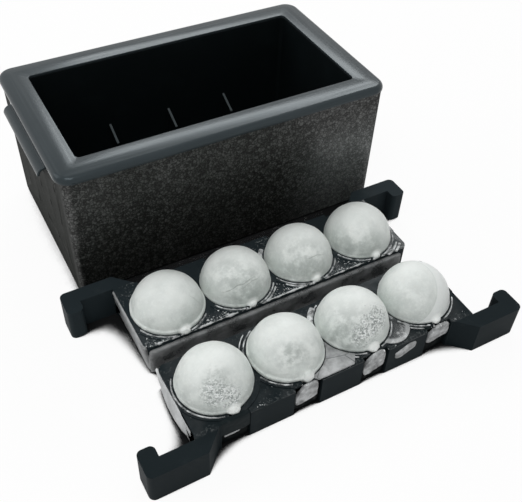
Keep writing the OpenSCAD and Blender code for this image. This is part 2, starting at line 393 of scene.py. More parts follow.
def makeFoamSkin():
    f = Finish("foamSkin")
    facing = f.add("ShaderNodeTexCoord", {}, {}, "Normal")
    endWall = f.step(abs(f.axis("X", facing)), 0.75, 0.95)
    grained = 1 - foamSkin["endSmooth"] * endWall
    beads = f.cells(foamSkin["beadScale"], "DISTANCE_TO_EDGE")
    # painted shade: the creases between beads are darker, and they also lose gloss
    creaseShade = 1 - f.step(beads, 0.0, 0.15)
    tone = f.axis("X", f.cells(foamSkin["beadScale"]).beside("Color"))
    grain = f.speckle(foamSkin["grainScale"], 2, 0.6)
    cloud = f.step(f.speckle(11, 3), 0.3, 0.65)
    shine = f.step(0.55 * tone + 0.45 * f.step(grain, 0.35, 0.65), 0.1, 0.85) * (1 - 0.85 * creaseShade)
    shine = shine * grained + foamSkin["endShine"] * endWall
    edgeOn = f.add("ShaderNodeLayerWeight", {}, {"Blend": 0.5}, "Facing")
    shade = f.mix(shine, foamSkin["dark"], foamSkin["light"])
    # painted glint: the palest beads are lighter still in patches
    shade = f.mix(f.step(shine, 0.6, 1.0) * cloud * 0.7, shade, foamSkin["paintedGlint"])
    # painted light: the lower right of the front is paler, standing for light from the right
    low = 1 - f.step(f.axis("Z"), *foamSkin["paintedLightHeight"])
    paintedLightMask = f.step(f.axis("X"), *foamSkin["paintedLightAlong"]) * low
    shade = f.mix(paintedLightMask * (0.4 + 0.55 * shine), shade, foamSkin["scuffAndPaintedLight"])
    relief = f.bump(f.step(beads, 0.0, 0.22) * grained, 0.9 * mm, 0.7)
    return f.close({
        "Base Color": shade,
        "Roughness": 0.7,
        "Specular IOR Level": 0.0,
        "Coat Weight": (0.35 + 0.65 * shine) * (1 - 0.93 * edgeOn),
        "Coat Roughness": 0.35,
        "Coat IOR": 1.9,
        "Normal": f.bump(grain * grained, 1.0 * mm, 0.7, relief),
    })


# sloping tops of the tank's fins, painted pale as a painted highlight; places are from the tank's middle
finForm = {
    "free": 43 * mm,
    "wall": 62.9 * mm,
    "foot": 29.5 * mm,  # height where the slope would meet the tank's middle plane
    "slope": 0.5,
    "reach": 100 * mm,  # no fin stands nearer to the tank's ends
    "fade": 1 * mm,
    "band": (0.3 * mm, 0.7 * mm),  # how far from the slope the pale tone ends
    "pale": grey(0.07, 0.2),
}


def makeTankBlack():
    f = Finish("tankBlack")
    film = f.speckle(30, 4)
    marks = f.speckle(140, 3)
    shade = f.mix(f.step(film, 0.5, 0.8) * 0.4, grey(0.0025, 0.7), grey(0.005, 0.7))
    across = abs(f.axis("Y"))
    overSlope = abs(f.axis("Z") - finForm["foot"] - finForm["slope"] * across)
    fade = finForm["fade"]
    clearOfWall = 1 - f.step(across, finForm["wall"] - fade, finForm["wall"])
    onFin = f.step(across, finForm["free"] - fade, finForm["free"]) * clearOfWall
    clearOfEnds = 1 - f.step(abs(f.axis("X")), finForm["reach"], finForm["reach"] + fade)
    # painted highlight: a thin pale band along each fin's sloping top
    finTop = (1 - f.step(overSlope, *finForm["band"])) * onFin * clearOfEnds
    shade = f.mix(finTop, shade, finForm["pale"])
    return f.close({
        "Base Color": shade,
        "Roughness": 0.45 + 0.2 * film,
        "Specular IOR Level": 0.08,
        "Normal": f.bump(marks, 0.05 * mm, 0.3),
    })


# satin grey plastic with faint streaks that run along each side of the rim
rimSkin = {
    "dark": (0.020, 0.026, 0.029, 1),
    "light": (0.031, 0.039, 0.043, 1),
    "streak": (0.055, 0.064, 0.068, 1),
    "streakScale": (9, 420),  # along the streaks and across them
    "mitreFade": 3 * mm,
    "glossTint": (0.64, 0.77, 0.83, 1),
}


def makeRimGrey():
    f = Finish("rimGrey")
    grain = f.speckle(1400, 2)
    cloud = f.speckle(22, 4)
    mitre = rimHalf[0] - rimHalf[1]
    fade = rimSkin["mitreFade"]
    atEnds = f.step(abs(f.axis("X")) - abs(f.axis("Y")) - mitre, -fade, fade)
    run, cross = rimSkin["streakScale"]
    alongSides = f.speckle(1, 3, 0.6, f.vector("MULTIPLY", f.where, (run, cross, cross)))
    alongEnds = f.speckle(1, 3, 0.6, f.vector("MULTIPLY", f.where, (cross, run, cross)))
    streak = alongSides * (1 - atEnds) + alongEnds * atEnds
    shade = f.mix(cloud, rimSkin["dark"], rimSkin["light"])
    shade = f.mix(f.step(streak, 0.45, 0.7) * 0.22, shade, rimSkin["streak"])
    return f.close({
        "Base Color": shade,
        "Roughness": 0.14 + 0.06 * cloud + 0.08 * f.step(streak, 0.35, 0.65),
        "Specular IOR Level": 0.3,
        "Specular Tint": rimSkin["glossTint"],
        "Normal": f.bump(grain, 0.04 * mm, 0.25),
    })


# charcoal plastic; the parting face between the cups is wet and frosted, the hooks are dry
traySkin = {
    "grain": (0.026, 0.032, 0.035, 1),
    "scuffAndPaintedLight": (0.035, 0.042, 0.045, 1),
    "frost": (0.26, 0.28, 0.28, 1),
    "faceHeight": (30.4 * mm, 31 * mm),  # the parting face begins and is full here
    "faceFade": 1 * mm,
    "frostEdge": (1 * mm, 8 * mm),  # frost gathers this near to the front edge
    "glossTint": (0.8, 0.95, 1, 1),
}
trayLooks = {
    # the back tray's colours are lighter than the front's: painted light that makes up for the shade the box
    # casts on it
    "back": {"frost": 0.7, "dark": (0.0145, 0.0205, 0.0235, 1), "light": (0.022, 0.03, 0.034, 1)},
    "front": {"frost": 0.2, "dark": (0.0085, 0.0125, 0.0145, 1), "light": (0.0135, 0.019, 0.0215, 1)},
}


def makeTrayCharcoal(name, centre, frontReach, look):
    f = Finish(name)
    grain = f.speckle(1100, 2)
    cloud = f.speckle(26, 4)
    fade = traySkin["faceFade"]
    along = 1 - f.step(abs(f.axis("X") - centre.x), trayHalf - fade, trayHalf + fade)
    across = 1 - f.step(abs(f.axis("Y") - centre.y), railReach, railReach + 2 * fade)
    face = f.step(f.axis("Z"), *traySkin["faceHeight"]) * along * across
    wet = face * f.step(f.speckle(60, 3), 0.32, 0.62)
    nearEdge = 1 - f.step(f.axis("Y") - (centre.y - frontReach), *traySkin["frostEdge"])
    gathered = f.step(f.speckle(48, 2) + 0.16 * nearEdge, 0.48, 0.62)
    frost = face * f.step(f.speckle(420, 4, 0.7) + 0.06 * nearEdge, 0.56, 0.66) * gathered
    shade = f.mix(cloud, look["dark"], look["light"])
    shade = f.mix(f.step(grain, 0.55, 0.8) * 0.25, shade, traySkin["grain"])
    # pale scuffs of wear at random places
    scuffAndPaintedLight = f.step(f.speckle(34, 5, 0.65), 0.5, 0.75)
    shade = f.mix(scuffAndPaintedLight * 0.4, shade, traySkin["scuffAndPaintedLight"])
    shade = f.mix(frost * look["frost"], shade, traySkin["frost"])
    relief = f.bump(f.speckle(240, 2) * wet, 0.5 * mm, 0.7)
    return f.close({
        "Base Color": shade,
        "Roughness": (0.42 + 0.16 * cloud) * (1 - wet * 0.6),
        "Specular IOR Level": 0.035,
        "Specular Tint": traySkin["glossTint"],
        "Coat Weight": wet * 0.7,
        "Coat Roughness": 0.12,
        "Coat IOR": 1.31,
        "Normal": f.bump(grain, 0.07 * mm, 0.5, relief),
    })


# frosted ice of one ball, with its own cracks, smudges and rough patches placed on the unit ball; it is
# painted paler towards the top, a painted light, and its large smudges low on the front are partly painted
# shade
iceSkin = {
    "deep": (0.64, 0.69, 0.66, 1),
    "pale": (0.77, 0.81, 0.78, 1),
    "mottle": (0.42, 0.46, 0.44, 1),
    "frost": (0.9, 0.93, 0.91, 1),
    "top": (0.85, 0.88, 0.86, 1),
    "smudgeAndShade": (0.28, 0.32, 0.3, 1),
    "crack": (0.2, 0.23, 0.22, 1),
    "shell": (0.86, 0.89, 0.88, 1),
    "pit": (0.22, 0.25, 0.24, 1),
    "grain": (0.88, 0.91, 0.9, 1),
}


def makeBallIce(name, centre, look):
    f = Finish(name)
    unit = f.vector("SUBTRACT", f.where, tuple(centre))
    unit = f.add("ShaderNodeVectorMath", {"operation": "SCALE"}, {0: unit, "Scale": 1 / ballRadius})
    drift = f.vector("ADD", unit, [look["seed"] * step for step in (1.3, 2.1, 0.7)])
    cloud = f.speckle(1.3, 4, 0.55, drift)
    grain = f.speckle(420, 3, 0.6)
    shade = f.mix(f.step(cloud, 0.3, 0.7), iceSkin["deep"], iceSkin["pale"])
    mottle = f.step(f.speckle(2.4, 5, 0.65, drift), 0.44, 0.68)
    shade = f.mix(mottle * 0.42, shade, iceSkin["mottle"])
    shade = f.mix(f.step(grain, 0.5, 0.7) * 0.3, shade, iceSkin["frost"])
    # painted light: paler towards the top of the ball
    paintedTopLight = f.step(f.axis("Z", unit), 0.2, 0.95)
    shade = f.mix(paintedTopLight * 0.55, shade, iceSkin["top"])
    height = grain * 0.7
    # smudges: dark patches of the ice, and where large and low on the front, painted shade
    for place, reach, depth in look.get("smudgesAndShade", ()):
        patch = f.near(unit, place, reach, reach * 0.85) * f.step(f.speckle(3.2, 5, 0.65, drift), 0.34, 0.62)
        shade = f.mix(patch * depth, shade, iceSkin["smudgeAndShade"])
    for normal, offset, middle, reach, depth in look.get("cracks", ()):
        wobble = (f.speckle(4, 2, 0.5, unit) - 0.5) * 0.16
        apart = abs(f.vector("DOT_PRODUCT", unit, normal, "Value") - offset + wobble)
        line = (1 - f.step(apart, 0.0, 0.022)) * f.near(unit, middle, reach, reach * 0.6)
        shade = f.mix(line * depth, shade, iceSkin["crack"])
        height = height - line * 1.2
    for normal, offset in look.get("shells", ()):
        across = f.vector("DOT_PRODUCT", unit, normal, "Value") - offset
        beyond = f.step(across, -0.012, 0.03)
        edge = 1 - f.step(abs(across), 0.0, 0.035)
        shade = f.mix(beyond * 0.6, shade, iceSkin["shell"])
        shade = f.mix(edge * 0.2, shade, iceSkin["mottle"])
        height = height + beyond * 1.6
    for place, reach in look.get("rough", ()):
        patch = f.near(unit, place, reach, reach * 0.8) * f.step(f.speckle(6, 3, 0.6, unit), 0.3, 0.55)
        grains = f.cells(900)
        tone = f.axis("X", grains.beside("Color"))
        pitted = f.mix(f.step(tone, 0.2, 0.8), iceSkin["pit"], iceSkin["grain"])
        shade = f.mix(patch * 0.8, shade, pitted)
        height = height + patch * tone * 2.2
    nubPlace = (look["lean"] * mm / ballRadius, -1.03, 0.06)
    shade = f.mix(f.near(unit, nubPlace, 0.24, 0.1) * 0.8, shade, iceSkin["frost"])
    return f.close({
        "Base Color": shade,
        "Roughness": 0.4 + 0.22 * cloud,
        "Subsurface Weight": 0.12,
        "Subsurface Radius": (0.005, 0.0055, 0.0057),
        "Sheen Weight": 0.34,
        "Sheen Roughness": 0.3,
        "Normal": f.bump(height, 0.35 * mm, 0.45),
    })


# a thin clear lens of ice on the dark tray: only its swollen rim is white
def makeRimmedIce(name, centre, halves):
    f = Finish(name)
    offset = f.vector("SUBTRACT", f.where, tuple(centre))
    offset = f.vector("MULTIPLY", offset, (1 / halves[0], 1 / halves[1], 0))
    reach = f.vector("LENGTH", offset, (0, 0, 0), "Value") + (f.speckle(70, 3) - 0.5) * 0.22
    edge = f.step(reach, 0.7, 0.84)
    veil = f.step(f.speckle(130, 4, 0.6), 0.5, 0.66)
    return f.close({
        "Base Color": f.mix(veil, grey(0.5, 0.03), grey(0.72, 0.03)),
        "Roughness": 0.12 + 0.2 * veil,
        "Alpha": 0.1 + 0.3 * veil + 0.6 * edge * (1 - 0.4 * veil),
        "Normal": f.bump(f.speckle(380, 2), 0.2 * mm, 0.5),
    })


# dark ice with a few wet glints, for the clear skin of ice over a notch, and the painted shade that fills
# the lower parts of the notches
def makeDarkIceAndPaintedShade(name, deep, pale):
    f = Finish(name)
    cloud = f.speckle(70, 3)
    return f.close({
        "Base Color": f.mix(cloud, deep, pale),
        "Roughness": 0.3 + 0.2 * cloud,
        "Specular IOR Level": 0.03,
        "Coat Weight": f.step(f.speckle(160, 3), 0.58, 0.7) * 0.35,
        "Coat Roughness": 0.2,
        "Normal": f.bump(cloud, 0.3 * mm, 0.5),
    })


# milky ice that lets a part of the dark tray through
def makeMilkyIce(name, low, high, cover, cloudScale, crackScale=0):
    f = Finish(name)
    cloud = f.speckle(cloudScale, 4, 0.6)
    fine = f.speckle(700, 3, 0.6)
    shade = f.mix(f.step(cloud, 0.3, 0.7), grey(low, 0.03), grey(high, 0.03))
    shade = f.mix(f.step(fine, 0.55, 0.75) * 0.35, shade, grey(min(1.0, high * 1.25), 0.02))
    if crackScale:
        crack = 1 - f.step(f.cells(crackScale, "DISTANCE_TO_EDGE"), 0.0, 0.02)
        shade = f.mix(crack * 0.7, shade, grey(0.06, 0.1))
    return f.close({
        "Base Color": shade,
        "Roughness": 0.2 + 0.3 * cloud,
        "Alpha": cover[0] + (cover[1] - cover[0]) * f.step(cloud, 0.3, 0.65),
        "Normal": f.bump(fine, 0.2 * mm, 0.5),
    })


# belts, nubs and their lean are in mm, marks are placed on the unit ball; smudges, dark marks that are
# partly
# painted shade low on the front: place, reach, depth; cracks: plane's normal and offset, middle, reach,
# depth;
# shells: plane's normal and offset; rough: place, reach
ballLooks = {
    "back_ball_1": {"seed": 3, "belt": 1.1, "beltHeight": 3.4, "nub": (4.6, 3.2, 3.4), "lean": 2.0,
                    "cracks": [((0.2, 0.97, -0.1), -0.5, (0.65, -0.45, 0.6), 0.35, 0.2)],
                    "smudgesAndShade": [((0.5, -0.6, 0.6), 0.7, 0.2)]},
    "back_ball_2": {"seed": 5, "belt": 0.5, "beltHeight": 1.8, "nub": (3.4, 2.6, 2.6), "lean": 0.6,
                    "cracks": [((0.137, -0.685, -0.716), 0.0, (-0.28, -0.72, 0.63), 0.62, 0.6),
                               ((0.2, -0.68, -0.7), 0.1, (0.1, -0.78, 0.62), 0.4, 0.45)],
                    "smudgesAndShade": [((-0.1, -0.8, 0.5), 1.1, 0.6), ((-0.5, -0.2, 0.85), 0.7, 0.3)]},
    "back_ball_3": {"seed": 8, "belt": 0.4, "beltHeight": 1.6, "nub": (3.8, 2.8, 2.8), "lean": 0.4,
                    "cracks": [((-0.115, -0.674, -0.729), 0.0, (0.08, -0.73, 0.67), 0.36, 0.5)],
                    "smudgesAndShade": [((-0.35, -0.75, 0.55), 1.2, 0.55)]},
    "back_ball_4": {"seed": 13, "belt": 0.4, "beltHeight": 1.6, "nub": (3.6, 2.8, 2.8), "lean": 0.2,
                    "smudgesAndShade": [((-0.85, -0.4, 0.3), 0.8, 0.5), ((-0.2, -0.85, 0.4), 0.9, 0.4)]},
    "front_ball_1": {"seed": 21, "belt": 0.6, "beltHeight": 2.2, "nub": (5.0, 3.2, 3.6), "lean": 1.6,
                     "smudgesAndShade": [((-0.16, -0.52, 0.84), 0.55, 0.6), ((0.5, -0.5, 0.6), 0.6, 0.15)],
                     "rough": [((-0.31, -0.74, 0.59), 0.55), ((0.04, -0.9, 0.42), 0.42)]},
    "front_ball_2": {"seed": 26, "belt": 1.0, "beltHeight": 3.2, "nub": (5.2, 3.4, 6.4), "lean": 2.6,
                     "smudgesAndShade": [((-0.27, -0.65, 0.71), 0.6, 0.7), ((0.4, -0.7, 0.5), 0.7, 0.35)]},
    "front_ball_3": {"seed": 31, "belt": 0.6, "beltHeight": 2.0, "nub": (4.8, 3.0, 3.6), "lean": 1.0,
                     "smudgesAndShade": [((-0.6, -0.6, 0.5), 1.1, 0.7)],
                     "rough": [((0.35, -0.62, 0.7), 0.5), ((0.0, -0.76, 0.65), 0.5),
                               ((-0.3, -0.82, 0.48), 0.45)]},
    "front_ball_4": {"seed": 37, "belt": 0.4, "beltHeight": 1.6, "nub": (3.8, 2.6, 2.8), "lean": 0.6,
                     "shells": [((0.739, -0.005, -0.674), -0.383)],
                     "smudgesAndShade": [((-0.5, -0.5, 0.6), 0.9, 0.3)]},
}

finishes = {
    "foam": makeFoamSkin(),
    "tank": makeTankBlack(),
    "rim": makeRimGrey(),
    "collarIce": makeMilkyIce("collarIce", 0.4, 0.75, (0.2, 0.95), 150),
    # painted shade: dark lumps in the lower parts of the notches
    "notchPaintedShade": makeDarkIceAndPaintedShade("notchPaintedShade", grey(0.0015, 0.5), grey(0.006, 0.4)),
    "skinIce": makeDarkIceAndPaintedShade("skinIce", grey(0.009, 0.45), grey(0.016, 0.4)),
    "sheetIce": makeMilkyIce("sheetIce", 0.3, 0.5, (0.6, 0.95), 60, 34),
    "notchIce": makeMilkyIce("notchIce", 0.2, 0.58, (0.85, 1.0), 120),
    "frontFilmIce": makeMilkyIce("frontFilmIce", 0.46, 0.68, (0.85, 1.0), 50),
    "backFilmIce": makeMilkyIce("backFilmIce", 0.22, 0.42, (0.75, 1.0), 50),
    "glazeIce": makeMilkyIce("glazeIce", 0.16, 0.34, (0.4, 0.75), 42),
    "gritIce": makeMilkyIce("gritIce", 0.45, 0.9, (0.6, 1.0), 260),
}
print("finishes made:", len(finishes))

foamForm = {
    "edge": 1.2 * mm,
    "edgeAngle": 50,
    "edgeSegments": 3,
    "weld": 0.01 * mm,
    "ventSize": (12 * mm, 3.2 * mm, 7 * mm),  # through the end face, wide, tall
    "ventSpacing": 28 * mm,
    "ventColumns": (-2, -1, 0, 1, 2),
    "ventRows": (34 * mm, 70 * mm, 104 * mm),
    "outside": 400 * mm,  # from here the script looks for the end walls
    "ventShift": -9 * mm,  # place of the lowest row's middle vent
    "rowShift": 3 * mm,  # each row above is this much further back
}


def makeFoamBox():
    piece = mergedCopy("foam_box", "foamBox")
    vents = []
    for side in (-1, 1):
        for rowIndex, height in enumerate(foamForm["ventRows"]):
            for column in foamForm["ventColumns"]:
                along = foamForm["ventShift"] + column * foamForm["ventSpacing"]
                along += rowIndex * foamForm["rowShift"]
                outside = Vector((side * foamForm["outside"], along, height))
                wall = piece.ray_cast(outside, (-side, 0, 0))[1]
                vents.append(addCube("vent", wall, foamForm["ventSize"]))
    roundEdges(piece, foamForm)
    splitFaces(piece, 4)
    carve(piece, joined("vents", vents))
    editAll(piece)
    bpy.ops.mesh.remove_doubles(threshold=foamForm["weld"])
    bpy.ops.mesh.dissolve_degenerate(threshold=foamForm["weld"])
    endEdit()
    finishFaces(piece)
    dress(piece, finishes["foam"], "box", "foam", "foam_box")


tankForm = {"edge": 0.5 * mm, "edgeAngle": 60, "edgeSegments": 2}


def makeTank():
    piece = mergedCopy("tank", "waterTank")
    roundEdges(piece, tankForm)
    finishFaces(piece)
    dress(piece, finishes["tank"], "liner", "tank", "tank")


rimForm = {
    "corner": 14 * mm,
    "flat": (5 * mm, 22.6 * mm),  # where the flat top begins and ends, from the outer edge
    "crown": 0.6 * mm,
    "cuts": 6,
    "edge": 0.7 * mm,
    "edgeAngle": 40,
    "edgeSegments": 3,
    "levelSlack": 0.02 * mm,  # corners this near to the top's height belong to it
}


# how far a place on the rim's top is from its rounded outer edge
def fromRimEdge(place):
    inX, inY = [half - abs(value) for half, value in zip(rimHalf, place.xy)]
    if max(inX, inY) < rimForm["corner"]:
        return rimForm["corner"] - math.hypot(rimForm["corner"] - inX, rimForm["corner"] - inY)
    return min(inX, inY)


# the flat top is cut into strips and gets a low crown, highest along the middle of each side
def makeRim():
    piece = mergedCopy("rim_frame", "rimFrame")
    roundEdges(piece, rimForm)
    splitFaces(piece, 4)
    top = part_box("rim_frame")[1].z
    begin, end = rimForm["flat"]
    for cut in range(1, rimForm["cuts"]):
        inset = begin + (end - begin) * cut / rimForm["cuts"]
        for axis in (0, 1):
            for side in (-1, 1):
                plane = [0, 0, 0]
                plane[axis] = side
                editAll(piece)
                bpy.ops.mesh.bisect(
                    plane_co=[value * (rimHalf[axis] - inset) for value in plane], plane_no=plane)
                endEdit()
    for vertex in piece.data.vertices:
        along = (fromRimEdge(vertex.co) - begin) / (end - begin)
        if vertex.co.z > top - rimForm["levelSlack"] and 0 < along < 1:
            vertex.co.z += rimForm["crown"] * math.sin(math.pi * along)
    finishFaces(piece)
    dress(piece, finishes["rim"], "liner", "rim", "rim_frame")


trayForm = {"edge": 0.6 * mm, "edgeAngle": 40, "edgeSegments": 3}


def makeTray(row):
    piece = mergedCopy(f"{row}_tray", f"{row}Tray")
    roundEdges(piece, trayForm)
    finishFaces(piece)
    charcoal = makeTrayCharcoal(f"{row}Charcoal", trayPlace(row), frontEdge[row], trayLooks[row])
    dress(piece, charcoal, f"{row}_tray", "tray", f"{row}_tray")


makeFoamBox()
makeTank()
makeRim()
for row in rows:
    makeTray(row)
print("rigid pieces made")

ballForm = {
    "grid": (96, 48),
    "voxel": 0.75 * mm,
    "relaxing": 3,
    "beltStart": 0.3 * mm,  # the belt begins this far above the parting face
    "beltRag": 1.3 * mm,
    "beltRagSize": 6 * mm,
    "nubGrid": (14, 9),
    "nubRag": 0.8 * mm,
    "nubOut": 0.4 * mm,  # from the ball's skin to a nub's middle
    "nubRise": 0.35,  # of the nub's half height
    "nubShares": {-1: 1.0, 1: 0.8},  # size of the nub on the near and the far side
    "channelIce": (2.4 * mm, 2.2 * mm, 2.4 * mm),
    "channelGrid": (16, 10),
    "skin": 0.5 * mm,
    "skinSize": 9 * mm,
    "fine": 0.2 * mm,
    "fineSize": 2.2 * mm,
}


def makeBall(row, count):
    nodeName = f"{row}_ball_{count}"
    pieceName = f"{row}Ball{count}"
    look = ballLooks[nodeName]
    centre = ballPlace(row, count)
    ball = addBall(pieceName, centre, [ballRadius] * 3, ballForm["grid"])
    crumple(ball, ballForm["skin"], ballForm["skinSize"])
    beltHeight = look["beltHeight"] * mm
    beltRadius = ballRadius + look["belt"] * mm
    middle = centre + Vector((0, 0, ballForm["beltStart"] + beltHeight / 2))
    belt = addDisc("belt", middle, beltRadius, beltRadius, beltHeight)
    crumple(belt, ballForm["beltRag"], ballForm["beltRagSize"])
    nubs = []
    halves = [value * mm for value in look["nub"]]
    for side, share in ballForm["nubShares"].items():
        out = side * (ballRadius + ballForm["nubOut"])
        offset = Vector((look["lean"] * mm, out, halves[2] * ballForm["nubRise"]))
        nub = addBall("nub", centre + offset, [share * half for half in halves], ballForm["nubGrid"])
        cutUp(nub, 1, ballForm["nubRag"], look["seed"])
        nubs.append(nub)
        channelEnd = centre + Vector((0, side * ballRadius, 0))
        nubs.append(addBall("channelIce", channelEnd, ballForm["channelIce"], ballForm["channelGrid"]))
    ball = joined(pieceName, [ball, belt] + nubs)
    remesh(ball, ballForm["voxel"])
    relax(ball, ballForm["relaxing"])
    crumple(ball, ballForm["fine"], ballForm["fineSize"])
    smoothAll(ball)
    dress(ball, makeBallIce(pieceName + "Ice", centre, look), nodeName, "ice", nodeName)


for row in rows:
    for count in counts:
        makeBall(row, count)
print("ice balls made")

# arcs of clear ice at each ball's seam
collarForm = {
    "reach": 32.6 * mm,
    "wide": 0.6 * mm,
    "tall": 0.7 * mm,
    "lift": 0.2 * mm,
    "grid": (144, 12),
    "rag": 0.8 * mm,
    "ragSize": 3 * mm,
    "smoothAngle": 50,
}
# where the arcs begin and end, in degrees from +X
collarArcs = {
    "back_ball_1": [(205, 258), (282, 318)],
    "back_ball_2": [(212, 258), (282, 328)],
    "back_ball_3": [(205, 258), (282, 330)],
    "back_ball_4": [(205, 258), (282, 352)],
    "front_ball_1": [(150, 205), (206, 258)],
    "front_ball_2": [(30, 78), (205, 250)],
    "front_ball_3": [(120, 150), (203, 258), (284, 335)],
    "front_ball_4": [(210, 258), (284, 330)],
}
# wider arcs of the same ice: ball, reach, half width and half height in mm, angles
broadArcs = {
    "back": [(4, 36.0, 1.0, 0.6, 288, 318), (4, 39.0, 1.1, 0.6, 300, 317), (3, 34.6, 0.7, 0.6, 222, 252),
             (2, 34.8, 0.7, 0.6, 290, 322), (3, 33.6, 2.0, 1.0, 138, 166)],
    "front": [(3, 34.0, 2.6, 1.0, 128, 166), (3, 35.0, 0.6, 0.5, 208, 246), (4, 35.0, 0.6, 0.5, 214, 248),
              (2, 33.2, 0.6, 0.6, 118, 166), (2, 36.4, 0.5, 0.5, 128, 158)],
}


def addArc(name, centre, reach, wide, tall, start, end):
    around, across = collarForm["grid"]
    deselectAll()
    bpy.ops.mesh.primitive_torus_add(
        location=centre, major_radius=reach, minor_radius=wide, major_segments=around, minor_segments=across)
    arc = settle(name)
    editAll(arc)
    bpy.ops.transform.resize(value=(1, 1, tall / wide), center_override=centre)
    for degrees, behind in ((start, True), (end, False)):
        turn = math.radians(degrees)
        bpy.ops.mesh.select_all(action="SELECT")
        bpy.ops.mesh.bisect(
            plane_co=centre, plane_no=(-math.sin(turn), math.cos(turn), 0),
            use_fill=True, clear_inner=behind, clear_outer=not behind)
    endEdit()
    return arc


def makeCollars(row):
    arcs = []
    for count in counts:
        centre = ballPlace(row, count) + Vector((0, 0, collarForm["lift"]))
        for start, end in collarArcs[f"{row}_ball_{count}"]:
            arcs.append(addArc(
                "arc", centre, collarForm["reach"], collarForm["wide"], collarForm["tall"], start, end))
    for count, reach, wide, tall, start, end in broadArcs[row]:
        arcs.append(addArc("arc", ballPlace(row, count), reach * mm, wide * mm, tall * mm, start, end))
    collars = joined(f"{row}Collars", arcs)
    crumple(collars, collarForm["rag"], collarForm["ragSize"])
    smoothByAngle(collars, collarForm["smoothAngle"])
    dress(collars, finishes["collarIce"], f"{row}_tray", "ice")


# flat ice between two balls: a disc trimmed by both cups; places are in mm from the tray's own centre
sheetForm = {
    "cup": 31.7 * mm,
    "cupVertices": 128,
    "bottom": 31.3 * mm,
    "top": 33.0 * mm,
    "inset": 1 * mm,  # from the tray's front edge
    "voxel": 0.5 * mm,
    "relaxing": 4,
    "rag": 0.5 * mm,
    "ragSize": 6 * mm,
}
sheets = {
    "frontSheetMiddle": {"row": "front", "balls": (2, 3), "centre": (-6, -13), "halves": (25, 30),
                         "finish": "sheetIce"},
    "frontSheetRight": {"row": "front", "balls": (3, 4), "centre": (55.5, -17), "halves": (17.5, 18),
                        "finish": "rimmed"},
}


def makeSheet(name, sheet):
    tray = trayPlace(sheet["row"])
    height = sheetForm["top"] - sheetForm["bottom"]
    level = sheetForm["bottom"] + height / 2
    centre = tray + Vector((sheet["centre"][0] * mm, sheet["centre"][1] * mm, level))
    halves = [value * mm for value in sheet["halves"]]
    piece = addDisc(name, centre, halves[0], halves[1], height)
    reach = sheetForm["cup"]
    for count in sheet["balls"]:
        cup = ballPlace(sheet["row"], count)
        cup.z = level
        carve(piece, addDisc("cup", cup, reach, reach, height * 3, sheetForm["cupVertices"]))
    edge = tray.y - frontEdge[sheet["row"]] + sheetForm["inset"]
    beyond = Vector((tray.x, edge - trayHalf / 2, level))
    carve(piece, addCube("beyond", beyond, (2 * trayHalf, trayHalf, height * 3)))
    remesh(piece, sheetForm["voxel"])
    relax(piece, sheetForm["relaxing"])
    crumple(piece, sheetForm["rag"], sheetForm["ragSize"])
    smoothAll(piece)
    rimmed = sheet["finish"] == "rimmed"
    finish = makeRimmedIce(name + "Ice", centre, halves) if rimmed else finishes[sheet["finish"]]
    dress(piece, finish, f"{sheet['row']}_tray", "ice")


lumpForm = {"cuts": 2, "rounding": 3, "voxel": 0.5 * mm, "relaxing": 4, "rag": 0.4 * mm, "ragSize": 4 * mm}
# where a lump's corners broke off: each line's start and end, as shares of the lump's width and height
cornerBreaks = (((-0.5, -0.5), (0.5, -0.25)), ((-0.1, 0.5), (-0.5, 0.0)))
slantBreaks = (((-0.2, -0.5), (0.5, -0.05)), ((0.15, 0.5), (-0.5, 0.05)))
# lumps of ice left in the notches and on the walls, milky above, with dark lumps below that are painted
# shade in the notches' lower parts: row, centre and full size in mm from the tray's own centre, how far the
# corners wander, seed, finish, and where corners broke off
lumps = {
    "frontNotchIce1": ("front", (-97, -36.5, 14.4), (13, 1.4, 1.1), 0.4, 2, "backFilmIce", ()),
    "frontNotchIce2": ("front", (-32, -35.0, 19.8), (20, 3.6, 23), 0.7, 4, "notchIce", cornerBreaks),
    "frontNotchIce3": ("front", (31, -35.0, 19.8), (20, 3.6, 23), 0.9, 9, "notchIce", cornerBreaks),
    "frontNotchIce4": ("front", (94, -35.0, 22.4), (22, 3.6, 18), 0.7, 6, "notchIce", cornerBreaks),
    "frontRailIce": ("front", (60.5, -36.9, 21), (20, 1.8, 14), 0.7, 12, "notchIce", slantBreaks),
    "frontNotchSkin": ("front", (-93.8, -34.6, 23), (26.5, 4.4, 18), 0.4, 31, "skinIce", ()),
    # painted shade: these dark lumps fill the lower parts of the notches
    "frontNotchShade1": ("front", (-94, -32.9, 8.4), (25, 3.6, 15), 0.5, 22, "notchPaintedShade", ()),
    "frontNotchShade2": ("front", (-30.8, -32.9, 8.6), (23, 3.6, 15.5), 0.5, 23, "notchPaintedShade", ()),
    "frontNotchShade3": ("front", (32, -32.9, 8.6), (23, 3.6, 15.5), 0.5, 24, "notchPaintedShade", ()),
    "frontNotchShade4": ("front", (94, -32.9, 10.6), (23, 3.6, 19.5), 0.5, 25, "notchPaintedShade", ()),
    "backFootLump": ("back", (-119.5, -33.2, 12), (12, 4, 21), 0.8, 15, "backFilmIce", ()),
}


def breakCorners(piece, centre, wide, tall, breaks):
    for (startX, startZ), (endX, endZ) in breaks:
        kept = Vector(((startZ - endZ) * tall, 0, (endX - startX) * wide)).normalized()
        editAll(piece)
        bpy.ops.mesh.bisect(
            plane_co=centre + Vector((startX * wide, 0, startZ * tall)), plane_no=kept,
            use_fill=True, clear_inner=True)
        endEdit()
    remesh(piece, lumpForm["voxel"])
    relax(piece, lumpForm["relaxing"])


